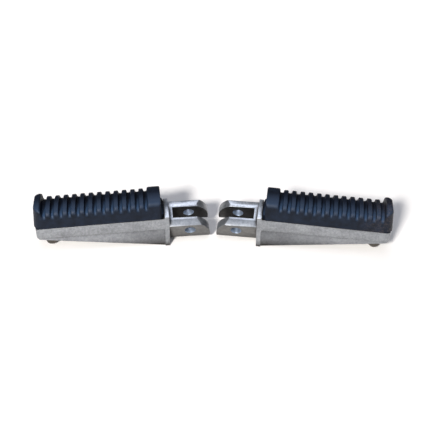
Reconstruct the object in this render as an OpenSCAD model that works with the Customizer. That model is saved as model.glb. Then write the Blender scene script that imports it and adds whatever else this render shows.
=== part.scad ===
// Pair of folding motorcycle footpegs, lying with their pivot ends together.
// Each peg is a die-cast alloy arm with a forked pivot end, a ribbed rubber
// tread pad bolted on from below, and a steel feeler under its outboard end.
// Millimetres. The pair stands on z = 0, runs along X and faces the front, -Y.

/* [Layout of the pair] */
// Distance between the two pivot pin axes
pin_gap = 37.5; // [34:0.5:60]
// Angle by which each outboard end swings to the front
toe_angle = 6.7; // [0:0.1:15]

/* [Pivot clevis] */
// Bore for the pivot pin
pin_bore = 8.2; // [6:0.1:10]
// Gap between the two ears
slot_w = 9.4; // [7:0.1:12]
// Thickness of one ear
ear_t = 6.7; // [5:0.1:8]
// Height of the ears above the pin axis
ear_rise = 8.6; // [7:0.1:9]
// Depth of the ears below the pin axis
ear_fall = 9; // [7:0.1:11]
// Reach of the ears beyond the pin axis
ear_reach = 15.5; // [13:0.1:18]
// Radius of the rounded ear end
ear_r = 16.4; // [13:0.1:20]
// Drop of the ear end's arc centre below the pin axis
ear_arc_drop = 6.5; // [3:0.1:8]
// Distance from the pin axis to the closed end of the slot
slot_root = 12.9; // [10:0.1:14]
// Flat land along the inner top edge of each ear
crown_land = 1.6; // [1:0.1:3]
// Fall of each ear's top from the land to its outer side
crown_drop = 1.7; // [0.5:0.1:3]
// Roll of the whole clevis about the peg, front side down
clevis_roll = 23.5; // [0:0.5:26]

/* [End flange] */
// Distance from the pin axis to the flange's inboard face
flange_face = 15.9; // [14.5:0.1:20]
// Thickness of the flange
flange_t = 3.5; // [2.5:0.1:5]
// Depth of the flange's foot below the pin axis
flange_fall = 16.2; // [14:0.1:20]
// Height of the flange's side corners above the pin axis
flange_shoulder = 10.3; // [10:0.1:12]
// Height of the flange's middle crest above the pin axis
flange_crest = 11.8; // [11.5:0.1:14]

/* [Tray and wedge] */
// Width of the casting
body_w = 25.8; // [24:0.1:30]
// Distance from the pin axis to the outboard end of the tray
tray_end = 115.9; // [110:0.1:135]
// Height of the pad's seat above the pin axis, at the flange
seat_rise = 8.65; // [7:0.05:10]
// Slope of the pad's seat, falling outboard
seat_slope = 1.95; // [0:0.05:3]
// Height of the side band at the flange
band_in_h = 9.3; // [7:0.1:11]
// Height of the side band at the outboard end
band_out_h = 8.2; // [6:0.1:9]
// Radius of the tray's two outboard corners, seen from above
tray_corner = 3; // [3:0.1:9]
// Height of the wedge below the band at the outboard end
wedge_out_h = 1.6; // [0.6:0.1:3]
// Step in from the band to the wedge's side
wedge_inset = 1; // [0.6:0.1:2]
// Radius of the panel corner between the band and the flange
panel_corner = 1.6; // [1:0.1:3]
// Thickness of the plate under the pad
deck_t = 3.4; // [2.5:0.1:5]
// Thickness of the wedge's side walls
wall_t = 3.2; // [2.5:0.1:5]
// Thickness of the cross ribs under the deck
rib_t = 2.4; // [1.6:0.1:4]
// Length of the solid block that holds the feeler
end_block = 17; // [14:0.1:22]

/* [Tread pad] */
// Gap between the flange and the pad's inboard end
pad_gap = 1.9; // [0.3:0.1:2.5]
// Length of the pad
pad_len = 96; // [94:0.1:115]
// Width of the pad
pad_w = 26.2; // [24:0.1:31]
// Height of the ribs' crown above the seat
rib_top = 15.6; // [14.5:0.1:18]
// Radius across the crown
crown_r = 40; // [30:1:60]
// Radius of the crown's two shoulders
shoulder_r = 4.5; // [4:0.1:6]
// Height of the collar above the ribs
collar_up = 1.0; // [0.4:0.1:2]
// Length of the collar
collar_len = 9.7; // [8:0.1:14]
// Height of the lip above the ribs
lip_up = 2.9; // [1:0.1:4]
// Length of the lip along its top
lip_len = 6.9; // [4:0.1:8]
// Number of ribs
rib_count = 12; // [8:1:14]
// Distance from one rib to the next
rib_pitch = 6.3; // [5:0.05:6.4]
// Width of a groove's foot
groove_foot_w = 1.8; // [1:0.1:2.6]
// Width of a groove at the crown
groove_w = 3.1; // [1.8:0.1:3.4]
// Depth of the grooves at the crown
groove_d = 3; // [2:0.1:4]
// Height of the plain skirt below the grooves
skirt_h = 7.4; // [5:0.1:8]
// Radius of the pad's outboard corners, seen from above
pad_corner = 7; // [3:0.1:9]
// Radius of the pad's inboard corners, seen from above
heel_corner = 2; // [1:0.1:4]
// Draft of the pad's outboard end, leaning in towards the top
pad_draft_angle = 6; // [0:0.5:8]
// Gap between the flange and the low foot at the pad's inboard end
foot_gap = 0.4; // [0.3:0.1:1]
// Height of that foot
foot_h = 4; // [2:0.1:6]
// Radius of the foot's corners, seen from above
foot_corner = 5; // [3:0.1:8]

/* [Pad fixing] */
// Distance from the flange to the inner pad screw
screw_in = 22; // [17:0.5:24]
// Distance between the two pad screws
screw_span = 48; // [40:0.5:54]
// Diameter of the pad screws
screw_d = 6; // [5:0.5:8]
// Length of a screw's shank
screw_len = 13; // [12:0.5:14]
// Across flats of a screw's hexagon head
head_af = 10; // [8:0.5:13]
// Height of a screw's head
head_h = 4; // [3:0.1:5]
// Diameter of the washers
washer_d = 12.4; // [12:0.1:14]
// Thickness of the washers
washer_t = 1.5; // [1:0.1:2]
// Diameter of the casting's screw bosses
boss_d = 13.4; // [12.5:0.1:15]
// Height of the screw bosses below the deck
boss_h = 3; // [2:0.1:4]
// Thickness of the pad's backing plate
plate_t = 2; // [1.5:0.1:3]
// Width of the backing plate
plate_w = 17; // [13:0.5:20]
// Length of the backing plate
plate_len = 70; // [60:1:78]
// Diameter of the plate's threaded collars
nut_d = 10; // [9:0.5:12]
// Height of the threaded collars above the plate
nut_h = 4; // [3:0.1:5]

/* [Feeler] */
// Distance from the pin axis to the feeler's root
feeler_x = 105.3; // [102:0.1:108]
// Diameter of the feeler's nose
feeler_d = 9.4; // [8:0.1:12]
// Radius of the nose's edge
feeler_edge = 4.2; // [0.5:0.1:4.5]
// Across flats of the feeler's hexagon
feeler_af = 12; // [11:0.5:13]
// Height of the feeler's hexagon
feeler_hex_h = 4; // [3:0.1:6]
// Diameter of the feeler's threaded stud
stud_d = 8; // [6:0.5:8]
// Length of the threaded stud
stud_len = 6; // [4:0.1:6.5]

/* [Fits] */
// Clearance all round a screw, stud or collar in its hole
hole_gap = 0.15; // [0.1:0.05:0.4]
// Clearance all round the backing plate in the pad's pocket
pocket_gap = 0.2; // [0.1:0.05:0.5]

/* [Hidden] */
$fn = 72;

// Cutters reach past the faces that they cut by this much
cut = 1;
// Longer than any piece of a peg
far = 200;

clevis_w = slot_w + 2 * ear_t;
flange_mid = flange_face + flange_t / 2;
flange_back = flange_face + flange_t;
seat_out = seat_rise - seat_fall(tray_end);
band_in = seat_rise - band_in_h;
band_out = seat_out - band_out_h;
wedge_out = band_out - wedge_out_h;
wedge_w = body_w - 2 * wedge_inset;
wedge_end = tray_end - wedge_inset;
wedge_angle = atan((wedge_out + flange_fall) / (wedge_end - flange_back));

// The pad's outline over the ribs, and the deeper one that the grooves follow
side_h = rib_top - crown_rise(crown_r, shoulder_r);
floor_r = 1.5 * crown_r;
floor_top = rib_top - groove_d;
floor_shoulder = shoulder_for(floor_top - skirt_h, floor_r);
groove_0 = pad_gap + collar_len + groove_w / 2;
lip_groove = groove_0 + rib_count * rib_pitch;
lip_foot = lip_groove + groove_foot_w / 2;
pad_end = pad_gap + pad_len;
lip_top = pad_end - lip_len;
groove_lean = (groove_w - groove_foot_w) / 2 * (rib_top + lip_up - skirt_h) / (rib_top - skirt_h);

// The underside that the screws pull against, below the seat
boss_face = -deck_t - boss_h;
// The feeler stands square to the wedge's underside, and its nose meets the
// ground that the flange's foot stands on
feeler_root = -flange_fall + (feeler_x - flange_back) * tan(wedge_angle);
feeler_len = (feeler_root + flange_fall - (feeler_d / 2 - feeler_edge) * sin(wedge_angle)
    - feeler_edge) / cos(wedge_angle) + feeler_edge;

// The pair's middle from front to back: the furthest corner in front is the
// tray's or the pad's, and the furthest behind is the rear ear's lowest one
front_reach = max(corner_reach(tray_end, body_w, tray_corner),
    corner_reach(flange_back + pad_end, pad_w, pad_corner));
ear_end = sqrt(pow(ear_r, 2) - pow(ear_fall - ear_arc_drop, 2)) - ear_r + ear_reach;
back_reach = ear_end * sin(toe_angle)
    + (clevis_w / 2 * cos(clevis_roll) + ear_fall * sin(clevis_roll)) * cos(toe_angle);
middle_y = (back_reach - front_reach) / 2;

alloy = "silver";
rubber = "#2b303a";
zinc = "#b9b7ae";
steel = "#8b8378";

// Fall of the seat from the flange to a place along the peg
function seat_fall(x) = (x - flange_back) * tan(seat_slope);

// Fall of the band's lower edge from the flange to a place along the peg
function band_fall(x) = (x - flange_back) * (band_in - band_out) / (tray_end - flange_back);

// How far forward a rounded outboard corner of a peg reaches
function corner_reach(end, width, corner) =
    (end - corner) * sin(toe_angle) + (width / 2 - corner) * cos(toe_angle) + corner;

// Rise of a crown arc above the point where its shoulders start
function crown_rise(r, s) =
    r - sqrt(pow(r - s, 2) - pow(pad_w / 2 - s, 2));

// Shoulder radius that gives a crown arc of radius r the wanted rise
function shoulder_for(rise, r) =
    (pow(pad_w / 2, 2) + pow(r - rise, 2) - r * r) / (pad_w - 2 * r);

// Outline of the pad across its length: upright sides, two shoulder arcs and
// a flat crown arc that runs into both without a corner
module crowned(top, side, r, s) {
    centre = top - r;
    span = atan2(side - centre, pad_w / 2 - s);
    translate([-pad_w / 2, 0]) square([pad_w, side]);
    for (m = [-1, 1]) translate([m * (pad_w / 2 - s), side]) circle(r = s);
    intersection() {
        translate([0, centre]) circle(r = r, $fn = 4 * $fn);
        translate([0, centre]) polygon([[0, 0],
            2 * r * [cos(span), sin(span)], 2 * r * [-cos(span), sin(span)]]);
        translate([-pad_w, 0]) square([2 * pad_w, top + r]);
    }
}

// A piece of the pad's length, standing across the peg
module along(x0, x1) {
    translate([x0, 0, 0]) rotate([90, 0, 90]) linear_extrude(x1 - x0) children();
}

// A slab cut from a side view, as wide as the peg needs
module sideways(width) {
    translate([0, width / 2, 0]) rotate([90, 0, 0]) linear_extrude(width) children();
}

// The seat's own frame, on the deck at the flange, falling outboard
module on_seat() {
    translate([flange_back, 0, seat_rise]) rotate([0, seat_slope, 0]) children();
}

// The frame of the sloping underside at the feeler, with +Z into the casting
module on_wedge() {
    translate([feeler_x, 0, feeler_root]) rotate([0, -wedge_angle, 0]) children();
}

module at_screws() {
    for (x = [screw_in, screw_in + screw_span]) translate([x, 0, 0]) children();
}

// Upright bar that ends at x = 0, with its two corners there rounded as seen
// from above. With a draft the end leans back above z = 0
module round_ended(width, corner, draft = 0) {
    rotate([0, -draft, 0]) linear_extrude(far, center = true) {
        translate([-far, -width / 2]) square([far - corner, width]);
        translate([-far, corner - width / 2]) square([far, width - 2 * corner]);
        for (m = [-1, 1]) translate([-corner, m * (width / 2 - corner)]) circle(r = corner);
    }
}

// Fork with its slot and pin bore, rolled to suit the hanger. Its root ends
// inside the flange and keeps to the flange's outline
module clevis() {
    inner = slot_w / 2 + crown_land;
    intersection() {
        rotate([clevis_roll, 0, 0]) difference() {
            intersection() {
                rotate([90, 0, 90]) linear_extrude(far, center = true) polygon([
                    [-clevis_w / 2, -ear_fall], [clevis_w / 2, -ear_fall],
                    [clevis_w / 2, ear_rise - crown_drop], [inner, ear_rise],
                    [-inner, ear_rise], [-clevis_w / 2, ear_rise - crown_drop]]);
                union() {
                    translate([ear_r - ear_reach, 0, -ear_arc_drop]) rotate([90, 0, 0])
                        cylinder(r = ear_r, h = far, center = true);
                    translate([0, -far / 2, -far / 2]) cube([flange_mid, far, far]);
                }
                translate([-far, -far / 2, -far / 2]) cube([far + flange_mid, far, far]);
            }
            translate([slot_root - far, -slot_w / 2, -far / 2]) cube([far, slot_w, far]);
            rotate([90, 0, 0]) cylinder(d = pin_bore, h = far, center = true);
        }
        union() {
            translate([flange_face - far, -far / 2, -far / 2]) cube(far);
            flange();
        }
    }
}

// End wall of the tray, with a low ridge across its top
module flange() {
    half = body_w / 2;
    along(flange_face, flange_back) polygon([
        [-half, -flange_fall], [half, -flange_fall], [half, flange_shoulder],
        [0, flange_crest], [-half, flange_shoulder]]);
}

// Side band under the pad, with the rounded inner corner of its panel
module band() {
    intersection() {
        sideways(body_w) polygon([
            [flange_mid, seat_rise], [flange_back, seat_rise], [far, seat_rise - seat_fall(far)],
            [far, band_in - band_fall(far)], [flange_back, band_in], [flange_mid, band_in]]);
        translate([tray_end, 0, 0]) round_ended(body_w, tray_corner);
    }
    translate([flange_back, -body_w / 2, band_in - panel_corner]) difference() {
        translate([-panel_corner, 0, 0]) cube([2 * panel_corner, body_w, 2 * panel_corner]);
        translate([panel_corner, -cut, 0]) rotate([-90, 0, 0])
            cylinder(r = panel_corner, h = body_w + 2 * cut);
    }
}

// Tapering web below the band, set in from it all round
module wedge() {
    intersection() {
        sideways(wedge_w) polygon([
            [flange_mid, -flange_fall], [flange_back, -flange_fall],
            [far, (far - flange_back) * tan(wedge_angle) - flange_fall],
            [far, seat_rise - deck_t / 2 - seat_fall(far)],
            [flange_mid, seat_rise - deck_t / 2]]);
        translate([wedge_end, 0, 0]) round_ended(wedge_w, tray_corner - wedge_inset);
    }
}

// Hollow under the deck, open below
module core() {
    core_end = tray_end - end_block;
    core_w = wedge_w - 2 * wall_t;
    sideways(core_w) polygon([
        [flange_back, -far], [core_end, -far],
        [core_end, seat_rise - deck_t - seat_fall(core_end)],
        [flange_back, seat_rise - deck_t]]);
}

// Bosses and cross ribs left standing in the hollow
module core_stiffeners() {
    on_seat() at_screws() translate([0, 0, boss_face])
        cylinder(d = boss_d, h = boss_h + deck_t / 2);
    mid = flange_back + screw_in + screw_span / 2;
    intersection() {
        union() {
            for (x = [mid - screw_span / 4, mid + screw_span / 4])
                translate([x, -wedge_w / 2 + wall_t / 2, -far / 2])
                    cube([rib_t, wedge_w - wall_t, far]);
        }
        wedge();
        on_seat() translate([0, -far / 2, 2 * boss_face]) cube([far, far, far]);
    }
}

module peg_casting() {
    color(alloy) difference() {
        union() {
            clevis();
            flange();
            difference() {
                union() {
                    band();
                    wedge();
                }
                core();
            }
            core_stiffeners();
        }
        on_seat() at_screws() translate([0, 0, boss_face - cut])
            cylinder(d = screw_d + 2 * hole_gap, h = boss_h + deck_t + 2 * cut);
        on_wedge() translate([0, 0, -cut])
            cylinder(d = stud_d + 2 * hole_gap, h = stud_len + cut + hole_gap);
    }
}

// One tapered groove across the crown, down to the floor outline. Its foot is
// centred on x = mid, and its outboard wall leans out by lean at the lip's crest
module groove(mid, lean) {
    crest = rib_top + lip_up;
    difference() {
        sideways(far) polygon([
            [mid - groove_foot_w / 2, skirt_h], [mid + groove_foot_w / 2, skirt_h],
            [mid + groove_foot_w / 2 + lean, crest], [mid + groove_foot_w / 2 + lean, far],
            [mid - groove_foot_w / 2 - groove_lean, far], [mid - groove_foot_w / 2 - groove_lean, crest]]);
        along(mid - far / 2, mid + far / 2)
            crowned(floor_top, skirt_h, floor_r, floor_shoulder);
    }
}

// The pad's inboard end seen from above, starting at x0 with two rounded corners
module pad_heel(x0, corner) {
    half = pad_w / 2;
    translate([x0 + corner, -half]) square([far, pad_w]);
    translate([x0, corner - half]) square([far, pad_w - 2 * corner]);
    for (m = [-1, 1]) translate([x0 + corner, m * (half - corner)]) circle(r = corner);
}

module tread_pad() {
    color(rubber) on_seat() difference() {
        intersection() {
            union() {
                along(foot_gap, pad_end) crowned(rib_top, side_h, crown_r, shoulder_r);
                along(pad_gap, pad_gap + collar_len)
                    crowned(rib_top + collar_up, side_h + collar_up, crown_r, shoulder_r);
                along(lip_foot, pad_end)
                    crowned(rib_top + lip_up, side_h + lip_up, crown_r, shoulder_r);
            }
            union() {
                linear_extrude(far) pad_heel(pad_gap, heel_corner);
                linear_extrude(foot_h) pad_heel(foot_gap, foot_corner);
            }
            translate([pad_end, 0, 0]) round_ended(pad_w, pad_corner, pad_draft_angle);
        }
        for (i = [0 : rib_count - 1]) groove(groove_0 + i * rib_pitch, groove_lean);
        groove(lip_groove, lip_top - lip_foot);
        pad_pocket();
    }
}

// Room in the pad's underside for the plate and its threaded collars
module pad_pocket() {
    translate([screw_in + (screw_span - plate_len) / 2 - pocket_gap, -plate_w / 2 - pocket_gap, -cut])
        cube([plate_len + 2 * pocket_gap, plate_w + 2 * pocket_gap, plate_t + cut]);
    at_screws() cylinder(d = nut_d + 2 * hole_gap, h = plate_t + nut_h + hole_gap);
}

module backing_plate() {
    color(zinc) on_seat() difference() {
        union() {
            translate([screw_in + (screw_span - plate_len) / 2, -plate_w / 2, 0])
                cube([plate_len, plate_w, plate_t]);
            at_screws() cylinder(d = nut_d, h = plate_t + nut_h);
        }
        at_screws() translate([0, 0, -cut])
            cylinder(d = screw_d + 2 * hole_gap, h = plate_t + nut_h + 2 * cut);
    }
}

module screw(x) {
    color(zinc) on_seat() translate([x, 0, boss_face - washer_t]) {
        translate([0, 0, -head_h]) cylinder(d = head_af / cos(30), h = head_h, $fn = 6);
        cylinder(d = screw_d, h = screw_len);
    }
}

module washer(x) {
    color(zinc) on_seat() translate([x, 0, boss_face - washer_t]) difference() {
        cylinder(d = washer_d, h = washer_t);
        translate([0, 0, -cut]) cylinder(d = screw_d + 2 * hole_gap, h = washer_t + 2 * cut);
    }
}

// Turned nose, hexagon and stud, in one piece
module feeler() {
    r = feeler_d / 2;
    color(steel) on_wedge() {
        translate([0, 0, -feeler_len]) rotate_extrude() {
            translate([0, feeler_edge]) square([r, feeler_len - feeler_edge]);
            square([r - feeler_edge, feeler_edge]);
            intersection() {
                translate([r - feeler_edge, feeler_edge]) circle(r = feeler_edge);
                square([r, feeler_len]);
            }
        }
        translate([0, 0, -feeler_hex_h])
            cylinder(d = feeler_af / cos(30), h = feeler_hex_h, $fn = 6);
        cylinder(d = stud_d, h = stud_len);
    }
}

// A peg built with its pin axis through the origin and its tread to +X
module right_peg() {
    translate([pin_gap / 2, -middle_y, flange_fall]) rotate([0, 0, -toe_angle]) children();
}

module left_peg() {
    mirror([1, 0, 0]) right_peg() children();
}

left_peg() peg_casting();  // left_peg_casting
left_peg() tread_pad();  // left_tread_pad
left_peg() backing_plate();  // left_backing_plate
left_peg() screw(screw_in);  // left_inner_screw
left_peg() washer(screw_in);  // left_inner_washer
left_peg() screw(screw_in + screw_span);  // left_outer_screw
left_peg() washer(screw_in + screw_span);  // left_outer_washer
left_peg() feeler();  // left_feeler
right_peg() peg_casting();  // right_peg_casting
right_peg() tread_pad();  // right_tread_pad
right_peg() backing_plate();  // right_backing_plate
right_peg() screw(screw_in);  // right_inner_screw
right_peg() washer(screw_in);  // right_inner_washer
right_peg() screw(screw_in + screw_span);  // right_outer_screw
right_peg() washer(screw_in + screw_span);  // right_outer_washer
right_peg() feeler();  // right_feeler
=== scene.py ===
# %% [markdown]
# # A pair of folding motorcycle footpegs
# Each peg is a die-cast alloy arm that carries a moulded rubber tread. The two
# lie on a pale table with their pivot ends together, mirror images of each
# other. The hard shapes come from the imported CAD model, which stays as it is.
# What is left for this notebook is what a caster and a moulder leave behind:
# rounded edges, grain, grime and the way that each surface takes the light.

# %% Load the fixed frame
import math

import bmesh
import bpy
from mathutils import Matrix, Vector


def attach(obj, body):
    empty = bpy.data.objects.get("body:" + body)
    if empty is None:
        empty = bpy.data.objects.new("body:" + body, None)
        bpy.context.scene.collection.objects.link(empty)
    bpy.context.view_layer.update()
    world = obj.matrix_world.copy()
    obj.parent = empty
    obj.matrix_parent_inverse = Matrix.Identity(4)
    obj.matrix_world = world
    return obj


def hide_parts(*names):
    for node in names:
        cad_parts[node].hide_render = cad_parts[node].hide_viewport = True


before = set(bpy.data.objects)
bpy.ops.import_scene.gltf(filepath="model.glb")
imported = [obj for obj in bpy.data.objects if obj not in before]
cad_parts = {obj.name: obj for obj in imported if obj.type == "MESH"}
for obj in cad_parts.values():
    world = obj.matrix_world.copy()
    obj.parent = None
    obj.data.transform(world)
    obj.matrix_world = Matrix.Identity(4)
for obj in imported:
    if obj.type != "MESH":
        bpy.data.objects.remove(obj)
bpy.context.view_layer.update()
print("CAD nodes:", len(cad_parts))

# %% [markdown]
# ## Units and colours
# Blender counts in metres and the drawings in millimetres, so one constant
# turns one into the other. Colours are read off a screen as sRGB hex, but a
# shader wants linear light, so every hex value goes through one function.

# %% Millimetres and hex colours
MM = 0.001


def linear(hex_colour):
    """Linear RGBA from an sRGB hex string."""
    parts = [int(hex_colour[i:i + 2], 16) / 255 for i in (1, 3, 5)]
    return [p / 12.92 if p <= 0.04045 else ((p + 0.055) / 1.055) ** 2.4 for p in parts] + [1.0]


print("mid grey in linear light:", round(linear("#808080")[0], 3))

# %% [markdown]
# ## One helper for every shader node
# A material is a small graph. One function adds a node, sets its properties
# and its sockets, and makes its links, so each material below reads as a list
# of what feeds what.

# %% Add a shader node


def add_node(tree, kind, props=None, values=None, links=None):
    """Add a node, set properties and socket values, and link other sockets into it."""
    node = tree.nodes.new(kind)
    for name, value in (props or {}).items():
        setattr(node, name, value)
    for socket, value in (values or {}).items():
        node.inputs[socket].default_value = value
    for socket, source in (links or {}).items():
        tree.links.new(source, node.inputs[socket])
    return node


def new_material(name):
    """An empty node material and its output node."""
    material = bpy.data.materials.new(name)
    material.use_nodes = True
    material.node_tree.nodes.clear()
    return material, add_node(material.node_tree, "ShaderNodeOutputMaterial")


# %% [markdown]
# ## Camera
# The picture was taken from the front, looking down at about 35 degrees, from
# a distance of about 60 cm. That distance shows in how little the upright
# edges converge. The lens then follows from how wide the pair is in the frame.

# %% Set the camera
LOOK_DOWN = math.radians(35)
DISTANCE = 600 * MM
TARGET = Vector((0, 5.72, 16.43)) * MM
camera_data = bpy.data.cameras.new("camera")
camera_data.sensor_width = 36
camera_data.lens = 63.27
camera_data.shift_x = 0.01545
camera_data.shift_y = -0.00682
camera_data.clip_start = 0.01
camera_data.clip_end = 20
camera = bpy.data.objects.new("camera", camera_data)
bpy.context.scene.collection.objects.link(camera)
eye = TARGET + DISTANCE * Vector((0, -math.cos(LOOK_DOWN), math.sin(LOOK_DOWN)))
tilt = Matrix.Rotation(math.pi / 2 - LOOK_DOWN, 4, "X")
hand_roll = Matrix.Rotation(math.radians(0.6), 4, "Z")
camera.matrix_world = Matrix.Translation(eye) @ tilt @ hand_roll
bpy.context.scene.camera = camera
print("camera at", [round(v, 3) for v in eye])

# %% [markdown]
# ## Table and light
# The pegs lie on white paper outdoors. A low sun behind thin cloud stands at
# the camera's height, a little to the left, and throws one soft shadow to the
# right. The sky overhead is bright and slightly blue, and the far side is
# dark. For rays that come from the camera, or by way of a shiny surface, the
# paper adds a little light of its own, more of it far from the pegs, so bare
# paper is white right to the edge and the shadow still shows.

# %% White paper
paper, paper_out = new_material("white_paper")
tree = paper.node_tree
sheet = add_node(tree, "ShaderNodeBsdfDiffuse", values={"Color": linear("#d9d8d6")})
bright = add_node(tree, "ShaderNodeBsdfDiffuse", values={"Color": linear("#fffaf4")})
place = add_node(tree, "ShaderNodeTexCoord")
away = add_node(tree, "ShaderNodeVectorMath", {"operation": "LENGTH"}, links={0: place.outputs["Object"]})
haze = add_node(tree, "ShaderNodeMapRange",
                values={"From Min": 180 * MM, "From Max": 360 * MM, "To Min": 0.04, "To Max": 0.34},
                links={"Value": away.outputs["Value"]})
glow = add_node(tree, "ShaderNodeEmission", values={"Color": linear("#ffffff")},
                links={"Strength": haze.outputs[0]})
rays = add_node(tree, "ShaderNodeLightPath")
seen = add_node(tree, "ShaderNodeMath", {"operation": "MAXIMUM"},
                links={0: rays.outputs["Is Camera Ray"], 1: rays.outputs["Is Glossy Ray"]})
lit_sheet = add_node(tree, "ShaderNodeAddShader", links={0: bright.outputs[0], 1: glow.outputs[0]})
mix = add_node(tree, "ShaderNodeMixShader",
               links={0: seen.outputs[0], 1: sheet.outputs[0], 2: lit_sheet.outputs[0]})
tree.links.new(mix.outputs[0], paper_out.inputs["Surface"])

floor_mesh = bpy.data.meshes.new("floor")
shape = bmesh.new()
bmesh.ops.create_grid(shape, x_segments=1, y_segments=1, size=4)
shape.to_mesh(floor_mesh)
shape.free()
floor = bpy.data.objects.new("floor", floor_mesh)
bpy.context.scene.collection.objects.link(floor)
floor_mesh.materials.append(paper)

# %% Sky
SKY_TOP = (0.0, -0.34, 0.94)
world = bpy.data.worlds.new("sky")
bpy.context.scene.world = world
world.use_nodes = True
tree = world.node_tree
tree.nodes.clear()
place = add_node(tree, "ShaderNodeTexCoord")
toward = add_node(tree, "ShaderNodeVectorMath", {"operation": "DOT_PRODUCT"}, values={1: SKY_TOP},
                  links={0: place.outputs["Generated"]})
sky = add_node(tree, "ShaderNodeValToRGB", links={0: toward.outputs["Value"]})
sky.color_ramp.elements[0].position = 0.0
sky.color_ramp.elements[0].color = linear("#4b4a49")
sky.color_ramp.elements[1].position = 1.0
sky.color_ramp.elements[1].color = linear("#dfe9fb")
middle = sky.color_ramp.elements.new(0.62)
middle.color = linear("#84899a")
dome = add_node(tree, "ShaderNodeBackground", values={"Strength": 0.3}, links={"Color": sky.outputs[0]})
blank = add_node(tree, "ShaderNodeBackground", values={"Color": linear("#ffffff"), "Strength": 1.0})
rays = add_node(tree, "ShaderNodeLightPath")
mix = add_node(tree, "ShaderNodeMixShader",
               links={0: rays.outputs["Is Camera Ray"], 1: dome.outputs[0], 2: blank.outputs[0]})
out = add_node(tree, "ShaderNodeOutputWorld", links={"Surface": mix.outputs[0]})


# %% Lamps
def soft_lamp(name, at_mm, size_mm, watts, colour):
    """A square lamp that looks at the middle of the pair."""
    data = bpy.data.lights.new(name, "AREA")
    data.size = size_mm * MM
    data.energy = watts
    data.color = linear(colour)[:3]
    lamp = bpy.data.objects.new(name, data)
    lamp.location = Vector(at_mm) * MM
    lamp.rotation_euler = (TARGET - lamp.location).to_track_quat("-Z", "Y").to_euler()
    bpy.context.scene.collection.objects.link(lamp)
    return lamp


# The shadow falls 0.55 mm to the right and 1.43 mm back for each mm of height
soft_lamp("veiled_sun", (-800, -2000, 1400), 340, 95.0, "#ffffff")
soft_lamp("bright_cloud", (0, 800, 1600), 900, 5.6, "#f2f5ff")
soft_lamp("blue_sky", (0, -700, 1500), 1000, 3.4, "#dce8ff")

# %% [markdown]
# ## Where a peg lies
# Each peg turns its pivot end a little to the back, and its tread slopes down
# towards the outboard end. One matrix leads from the peg's own frame, with the
# pin as its origin, to the table, and one from the seat of the tread.

# %% Where a peg lies
TOE = math.radians(6.7)
SEAT_SLOPE = math.radians(1.95)
PIN = Vector((18.75, 5.14, 16.2)) * MM
SEAT = Vector((19.4, 0, 8.65)) * MM
peg_frame = Matrix.Translation(PIN) @ Matrix.Rotation(-TOE, 4, "Z")
seat_frame = peg_frame @ Matrix.Translation(SEAT) @ Matrix.Rotation(SEAT_SLOPE, 4, "Y")
MIRROR = Matrix.Scale(-1, 4, Vector((1, 0, 0)))
print("pin axis at", [round(v / MM, 2) for v in PIN])

# %% [markdown]
# ## Die-cast aluminium
# The arms are pressure die-cast aluminium, tumbled and left bare. Tumbling
# leaves a fine, even tooth that spreads every reflection, so the metal is
# bright where it faces the sky and plain grey elsewhere. The tooth is about
# 0.3 mm. Handling leaves broad, faint clouds, a few centimetres across.
# Hollows and creases get painted shade, which darkens their colour.

# %% Cast alloy material


def cast_alloy(name, dark, light, grain):
    """Bare die-casting alloy, with painted shade that darkens its hollows and creases."""
    material, output = new_material(name)
    tree = material.node_tree
    place = add_node(tree, "ShaderNodeTexCoord")
    cloud = add_node(tree, "ShaderNodeTexNoise",
                     values={"Scale": 70.0, "Detail": 4.0, "Roughness": 0.6},
                     links={"Vector": place.outputs["Object"]})
    tooth = add_node(tree, "ShaderNodeTexNoise",
                     values={"Scale": grain, "Detail": 4.0, "Roughness": 0.75},
                     links={"Vector": place.outputs["Object"]})
    grey = add_node(tree, "ShaderNodeValToRGB", links={0: cloud.outputs["Fac"]})
    grey.color_ramp.elements[0].position = 0.3
    grey.color_ramp.elements[0].color = linear(dark)
    grey.color_ramp.elements[1].position = 0.7
    grey.color_ramp.elements[1].color = linear(light)
    pits = add_node(tree, "ShaderNodeMapRange",
                    values={"From Min": 0.3, "From Max": 0.7, "To Min": 0.74, "To Max": 1.2},
                    links={"Value": tooth.outputs["Fac"]})
    speck = add_node(tree, "ShaderNodeVectorMath", {"operation": "SCALE"},
                     links={0: grey.outputs[0], "Scale": pits.outputs[0]})
    # Painted shade: occlusion within 12 mm and within 3 mm darkens the colour towards #3d3a38.
    hollow = add_node(tree, "ShaderNodeAmbientOcclusion", {"samples": 8}, values={"Distance": 12 * MM})
    crevice = add_node(tree, "ShaderNodeAmbientOcclusion", {"samples": 8}, values={"Distance": 3 * MM})
    hollow_shade = add_node(tree, "ShaderNodeMapRange",
                         values={"From Min": 0.3, "From Max": 0.78, "To Min": 0.95, "To Max": 0.0},
                         links={"Value": hollow.outputs["AO"]})
    crevice_shade = add_node(tree, "ShaderNodeMapRange",
                      values={"From Min": 0.68, "From Max": 1.0, "To Min": 1.0, "To Max": 0.0},
                      links={"Value": crevice.outputs["AO"]})
    painted_shade = add_node(tree, "ShaderNodeMath", {"operation": "MAXIMUM"},
                    links={0: hollow_shade.outputs[0], 1: crevice_shade.outputs[0]})
    shaded_tone = add_node(tree, "ShaderNodeMix", {"data_type": "RGBA"}, values={7: linear("#3d3a38")},
                     links={0: painted_shade.outputs[0], 6: speck.outputs[0]})
    sheen = add_node(tree, "ShaderNodeMapRange",
                     values={"From Min": 0.3, "From Max": 0.7, "To Min": 0.34, "To Max": 0.46},
                     links={"Value": cloud.outputs["Fac"]})
    relief = add_node(tree, "ShaderNodeBump", values={"Strength": 0.35, "Distance": 0.12 * MM},
                      links={"Height": tooth.outputs["Fac"]})
    alloy = add_node(tree, "ShaderNodeBsdfPrincipled", values={"Metallic": 0.8},
                     links={"Base Color": shaded_tone.outputs[2], "Roughness": sheen.outputs[0],
                            "Normal": relief.outputs[0]})
    tree.links.new(alloy.outputs[0], output.inputs["Surface"])
    return material


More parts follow.
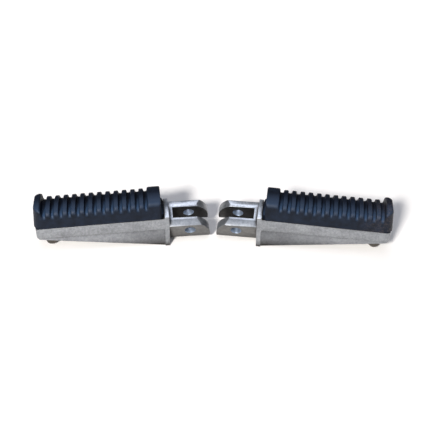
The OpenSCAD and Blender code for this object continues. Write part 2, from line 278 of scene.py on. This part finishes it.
alloy_finish = cast_alloy("tumbled_die_cast_aluminium", "#86888b", "#9ea0a3", 560.0)
# The recessed panels get their own grey, a touch lighter than the outside, and a coarser grain.
panel_finish = cast_alloy("recessed_panel_aluminium", "#8c8e92", "#a3a5a9", 480.0)
# Painted highlight: a bright, blue-tinted copy of the alloy for the tops that face the sky.
sky_lit_top_finish = cast_alloy("sky_lit_top_aluminium", "#ccd3dc", "#eef2f8", 560.0)
# Painted shade: a near-black copy of the alloy for the slot between the ears.
slot_shade_finish = cast_alloy("slot_shaded_cast_aluminium", "#343332", "#4a4948", 480.0)
# Painted shade: a darker copy of the alloy for the front of the fork, which turns down.
front_shade_finish = cast_alloy("front_shaded_cast_aluminium", "#626160", "#7a7977", 480.0)
print("made", alloy_finish.name, panel_finish.name, sky_lit_top_finish.name)

# %% [markdown]
# ## Moulded rubber
# The treads are compression-moulded nitrile rubber. It is black, with a faint,
# patchy bloom. A blue-grey sky reflection is painted into the colour on the
# front half, on faces that turn up, down to the shoulder. The groove floors keep
# the mould's polish and are a darker copy of the rubber, painted shade; the
# painted reflection leaves them darkest on top. Brown road dust sits on the
# outboard end.

# %% Rubber material


def moulded_rubber(name, dark, light, pale, roughness, dust, shine):
    """Black moulded rubber with a painted blue-grey sky reflection in front and dust at the outboard end."""
    material, output = new_material(name)
    tree = material.node_tree
    place = add_node(tree, "ShaderNodeTexCoord")
    bloom = add_node(tree, "ShaderNodeTexNoise",
                     values={"Scale": 160.0, "Detail": 5.0, "Roughness": 0.65},
                     links={"Vector": place.outputs["Object"]})
    tone = add_node(tree, "ShaderNodeValToRGB", links={0: bloom.outputs["Fac"]})
    tone.color_ramp.elements[0].position = 0.35
    tone.color_ramp.elements[0].color = linear(dark)
    tone.color_ramp.elements[1].position = 0.7
    tone.color_ramp.elements[1].color = linear(light)
    split = add_node(tree, "ShaderNodeSeparateXYZ", links={0: place.outputs["Object"]})
    outboard = add_node(tree, "ShaderNodeMath", {"operation": "ABSOLUTE"}, links={0: split.outputs["X"]})
    on_table = add_node(tree, "ShaderNodeCombineXYZ", links={0: outboard.outputs[0], 1: split.outputs["Y"]})
    from_pin = add_node(tree, "ShaderNodeVectorMath", {"operation": "SUBTRACT"}, values={1: PIN},
                        links={0: on_table.outputs[0]})
    across = add_node(tree, "ShaderNodeVectorMath", {"operation": "DOT_PRODUCT"},
                      values={1: (math.sin(TOE), math.cos(TOE), 0.0)}, links={0: from_pin.outputs[0]})
    spread = add_node(tree, "ShaderNodeMapRange",
                      values={"From Min": 1 * MM, "From Max": -9 * MM, "To Min": 0.0, "To Max": 1.0},
                      links={"Value": across.outputs["Value"]})
    turned = add_node(tree, "ShaderNodeSeparateXYZ", links={0: place.outputs["Normal"]})
    level = add_node(tree, "ShaderNodeMapRange",
                     values={"From Min": 0.1, "From Max": 0.7, "To Min": 0.0, "To Max": 1.0},
                     links={"Value": turned.outputs["Z"]})
    # Painted reflection: blue-grey sky sheen mixed into the colour on the front half, on faces that turn up.
    sky_sheen_mask = add_node(tree, "ShaderNodeMath", {"operation": "MULTIPLY"},
                    links={0: spread.outputs[0], 1: level.outputs[0]})
    sky_sheened = add_node(tree, "ShaderNodeMix", {"data_type": "RGBA"}, values={7: linear(pale)},
                       links={0: sky_sheen_mask.outputs[0], 6: tone.outputs[0]})
    speck = add_node(tree, "ShaderNodeTexNoise",
                     values={"Scale": 700.0, "Detail": 3.0, "Roughness": 0.7},
                     links={"Vector": place.outputs["Object"]})
    reach = add_node(tree, "ShaderNodeMapRange",
                     values={"From Min": 106 * MM, "From Max": 134 * MM, "To Min": 0.0, "To Max": dust},
                     links={"Value": split.outputs["X"]})
    patch = add_node(tree, "ShaderNodeMapRange",
                     values={"From Min": 0.45, "From Max": 0.68, "To Min": 0.0, "To Max": 1.0},
                     links={"Value": speck.outputs["Fac"]})
    dusty = add_node(tree, "ShaderNodeMath", {"operation": "MULTIPLY"},
                     links={0: reach.outputs[0], 1: patch.outputs[0]})
    colour = add_node(tree, "ShaderNodeMix", {"data_type": "RGBA"}, values={7: linear("#6d5f57")},
                      links={0: dusty.outputs[0], 6: sky_sheened.outputs[2]})
    rough = add_node(tree, "ShaderNodeMapRange",
                     values={"From Min": 0.35, "From Max": 0.7, "To Min": roughness, "To Max": roughness + 0.1},
                     links={"Value": bloom.outputs["Fac"]})
    relief = add_node(tree, "ShaderNodeBump", values={"Strength": 0.2, "Distance": 0.06 * MM},
                      links={"Height": speck.outputs["Fac"]})
    rubber = add_node(tree, "ShaderNodeBsdfPrincipled", values={"Specular IOR Level": shine},
                      links={"Base Color": colour.outputs[2], "Roughness": rough.outputs[0],
                             "Normal": relief.outputs[0]})
    tree.links.new(rubber.outputs[0], output.inputs["Surface"])
    return material


rubber_finish = moulded_rubber("worn_nitrile_rubber", "#0c111a", "#18202e", "#273345", 0.46, 0.35, 0.15)
# Painted shade: a darker copy of the rubber for the groove floors.
groove_shade_finish = moulded_rubber("polished_groove_shade_nitrile_rubber", "#060b15", "#0d1725", "#26384f", 0.44, 0.2, 0.16)
print("made", rubber_finish.name, groove_shade_finish.name)

# %% [markdown]
# ## Plated and turned steel
# The hidden screws, washers and plates are zinc plated, which is a soft,
# slightly warm silver. The feeler under the outboard end is a bare turned
# bolt that drags on the road in a lean, so it is dull brown and scuffed.

# %% Steel materials


def plain_steel(name, tone, worn, roughness, scale):
    """Steel with patches of a second tone."""
    material, output = new_material(name)
    tree = material.node_tree
    place = add_node(tree, "ShaderNodeTexCoord")
    patch = add_node(tree, "ShaderNodeTexNoise", values={"Scale": scale, "Detail": 4.0},
                     links={"Vector": place.outputs["Object"]})
    mixed = add_node(tree, "ShaderNodeMix", {"data_type": "RGBA"},
                     values={6: linear(tone), 7: linear(worn)}, links={0: patch.outputs["Fac"]})
    steel = add_node(tree, "ShaderNodeBsdfPrincipled",
                     values={"Metallic": 0.9, "Roughness": roughness},
                     links={"Base Color": mixed.outputs[2]})
    tree.links.new(steel.outputs[0], output.inputs["Surface"])
    return material


zinc_finish = plain_steel("zinc_plated_steel", "#c4c2b8", "#a7a59c", 0.35, 300.0)
# The bore is bright reamed metal; its blue tint is a painted sky reflection.
bore_finish = plain_steel("reamed_aluminium_sky_tint", "#b9c4d2", "#a4b0c0", 0.42, 200.0)
feeler_finish = plain_steel("scuffed_turned_steel", "#6e6962", "#423e3a", 0.5, 400.0)

# %% [markdown]
# ## Rounded edges on the casting
# A die casting has small, even radii. A copy of each CAD mesh is merged, its
# flat faces are joined up, and every corner that stands out is bevelled by
# about 0.4 mm. The inner corners stay as they are, because their fillets are
# too small to see.

# %% Merged copy of a node


def merged(node):
    """A bmesh of a CAD node with its loose triangles joined into flat faces."""
    shape = bmesh.new()
    shape.from_mesh(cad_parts[node].data)
    bmesh.ops.remove_doubles(shape, verts=shape.verts, dist=0.004 * MM)
    bmesh.ops.dissolve_limit(shape, angle_limit=math.radians(0.6), verts=shape.verts,
                             edges=shape.edges, delimit=set())
    return shape


def dressed(shape, name, node, finishes, smooth_to=40):
    """Turn a bmesh into the piece that stands in for a node."""
    for face in shape.faces:
        face.smooth = True
    mesh = bpy.data.meshes.new(name)
    shape.to_mesh(mesh)
    shape.free()
    for finish in finishes:
        mesh.materials.append(finish)
    piece = bpy.data.objects.new(name, mesh)
    bpy.context.scene.collection.objects.link(piece)
    mesh.set_sharp_from_angle(angle=math.radians(smooth_to))
    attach(piece, "root")
    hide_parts(node)
    print(name, len(mesh.polygons), "faces")
    return piece


# %% [markdown]
# The recessed panels have a grey of their own, a touch lighter than the
# tumbled outside, and a coarser grain. The tops of the ears and of the flange
# have a painted highlight: a bright, blue-tinted copy of the alloy. The pin
# bore is reamed bright metal with a painted blue sky tint. The slot is painted
# near-black as shade, and the front of the fork, which turns down, is painted
# darker as shade. Each face is told its finish by where it lies in the peg's
# own frame.

# %% Bevel the castings
EDGE = 0.45 * MM
PANEL_Y = 11.9 * MM
BORE_R = 4.1 * MM
SLOT_HALF = 4.7 * MM
CLEVIS_ROLL = math.radians(23.5)
FLANGE_FACE, FLANGE_BACK = 15.9 * MM, 19.4 * MM
TUMBLED, RECESSED_PANEL, REAMED, SKY_LIT_TOP, SLOT_SHADE, FRONT_SHADE = range(6)
unroll = Matrix.Rotation(-CLEVIS_ROLL, 3, "X")


def finish_of(corners, centre, normal):
    """Which finish a face of the casting has, from its place in the peg's frame, painted highlight and shade
    included.
    """
    spot, lean = unroll @ centre, unroll @ normal
    if all(math.hypot(c.x, (unroll @ c).z) < BORE_R + 0.05 * MM for c in corners):
        return REAMED
    if centre.x > FLANGE_FACE and all(abs(abs(c.y) - PANEL_Y) < 0.05 * MM for c in corners):
        return RECESSED_PANEL
    # Tops facing up, on the flange and on the ears, take the painted highlight.
    if FLANGE_FACE < centre.x < FLANGE_BACK and normal.z > 0.9 and centre.z > 9 * MM:
        return SKY_LIT_TOP
    if centre.x < FLANGE_FACE and (lean.z > 0.99 or lean.z > 0.9 and spot.y > 0):
        return SKY_LIT_TOP
    # Faces in the slot take painted shade.
    if centre.x < FLANGE_FACE and abs(spot.y) < SLOT_HALF + 0.1 * MM:
        return SLOT_SHADE
    # The down-turned front of the fork takes painted shade.
    if centre.x < FLANGE_FACE and lean.y < -0.9:
        return FRONT_SHADE
    return TUMBLED


def tell_finishes(shape, to_peg):
    """Give each face of a casting the number of its finish."""
    turn = to_peg.to_3x3()
    for face in shape.faces:
        corners = [to_peg @ v.co for v in face.verts]
        face.material_index = finish_of(corners, to_peg @ face.calc_center_median(), turn @ face.normal)
    print("faces per finish:", [sum(f.material_index == n for f in shape.faces) for n in range(6)])


arm_finishes = [alloy_finish, panel_finish, bore_finish, sky_lit_top_finish, slot_shade_finish, front_shade_finish]
for side in ("left", "right"):
    shape = merged(side + "_peg_casting")
    tell_finishes(shape, peg_frame.inverted() @ (MIRROR if side == "left" else Matrix.Identity(4)))
    corners = [e for e in shape.edges
               if len(e.link_faces) == 2 and e.calc_face_angle_signed() > math.radians(30)]
    bmesh.ops.bevel(shape, geom=corners, offset=EDGE, offset_type="OFFSET", segments=2, profile=0.5,
                    affect="EDGES", material=-1, clamp_overlap=True, loop_slide=True)
    dressed(shape, side + "_cast_arm", side + "_peg_casting", arm_finishes)

# %% [markdown]
# ## Moulded tread
# Rubber comes out of its mould with every corner rounded, outside and inside.
# To get that, a merged copy of the tread is laid along X, sliced into cells of
# about half a millimetre, and relaxed a few times, so that corners round off
# while flats stay flat. The shoulders and the lip are relaxed more, since they
# are the softest forms.
# The left tread is the mirror image of the right one.

# %% Lay a tread along X
SKIRT, CROWN, LIP_START = 7.4 * MM, 15.6 * MM, 89 * MM
SHOULDER = 8.5 * MM


def sliced(shape, axis, step):
    """Cut every face of a bmesh with evenly spaced planes across one axis."""
    normal = Vector([1.0 if i == axis else 0.0 for i in range(3)])
    places = [v.co[axis] for v in shape.verts]
    count = int((max(places) - min(places)) / step)
    for i in range(1, count):
        at = normal * (min(places) + i * (max(places) - min(places)) / count)
        bmesh.ops.bisect_plane(shape, geom=shape.verts[:] + shape.edges[:] + shape.faces[:],
                               dist=0.01 * MM, plane_co=at, plane_no=normal)


def relaxed(shape, verts, times, strength=0.5):
    """Let the surface settle, as rubber does, a few times over."""
    for _ in range(times):
        bmesh.ops.smooth_vert(shape, verts=verts, factor=strength, use_axis_x=True,
                              use_axis_y=True, use_axis_z=True)


# %% Make both treads
CELL = 0.6 * MM
GROOVE_END = 4.5 * MM
tread = merged("right_tread_pad")
bmesh.ops.transform(tread, matrix=seat_frame.inverted(), verts=tread.verts)
# Groove floors take the second, darker rubber, which is painted shade.
for face in tread.faces:
    valley = any(len(e.link_faces) == 2 and e.calc_face_angle_signed() < -0.3 for e in face.edges)
    upright = abs(face.normal.x) < 0.3 and face.normal.z > 0.05
    face.material_index = 1 if valley and upright and face.calc_center_median().z > GROOVE_END else 0
for axis in (1, 2, 0):
    sliced(tread, axis, CELL)
print("tread sliced into", len(tread.faces), "faces")
relaxed(tread, tread.verts, 3)
relaxed(tread, [v for v in tread.verts if abs(v.co.y) > SHOULDER and v.co.z > SKIRT - 1 * MM], 9)
relaxed(tread, [v for v in tread.verts if v.co.x > LIP_START and v.co.z > SKIRT], 6)
relaxed(tread, [v for v in tread.verts if v.co.x > LIP_START and v.co.z > CROWN], 18)
bmesh.ops.transform(tread, matrix=seat_frame, verts=tread.verts)
other = tread.copy()
bmesh.ops.transform(other, matrix=MIRROR, verts=other.verts)
bmesh.ops.reverse_faces(other, faces=other.faces)
for side, shape in (("right", tread), ("left", other)):
    dressed(shape, side + "_rubber_tread", side + "_tread_pad", [rubber_finish, groove_shade_finish], 60)

# %% [markdown]
# ## Hardware
# The small steel pieces keep their CAD meshes and only get their finish.

# %% Dress the hardware
for name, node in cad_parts.items():
    if name.endswith("feeler"):
        node.data.materials.clear()
        node.data.materials.append(feeler_finish)
    elif name.split("_", 1)[1] not in ("peg_casting", "tread_pad"):
        node.data.materials.clear()
        node.data.materials.append(zinc_finish)

# %% View settings and finish
bpy.context.scene.view_settings.view_transform = "Standard"
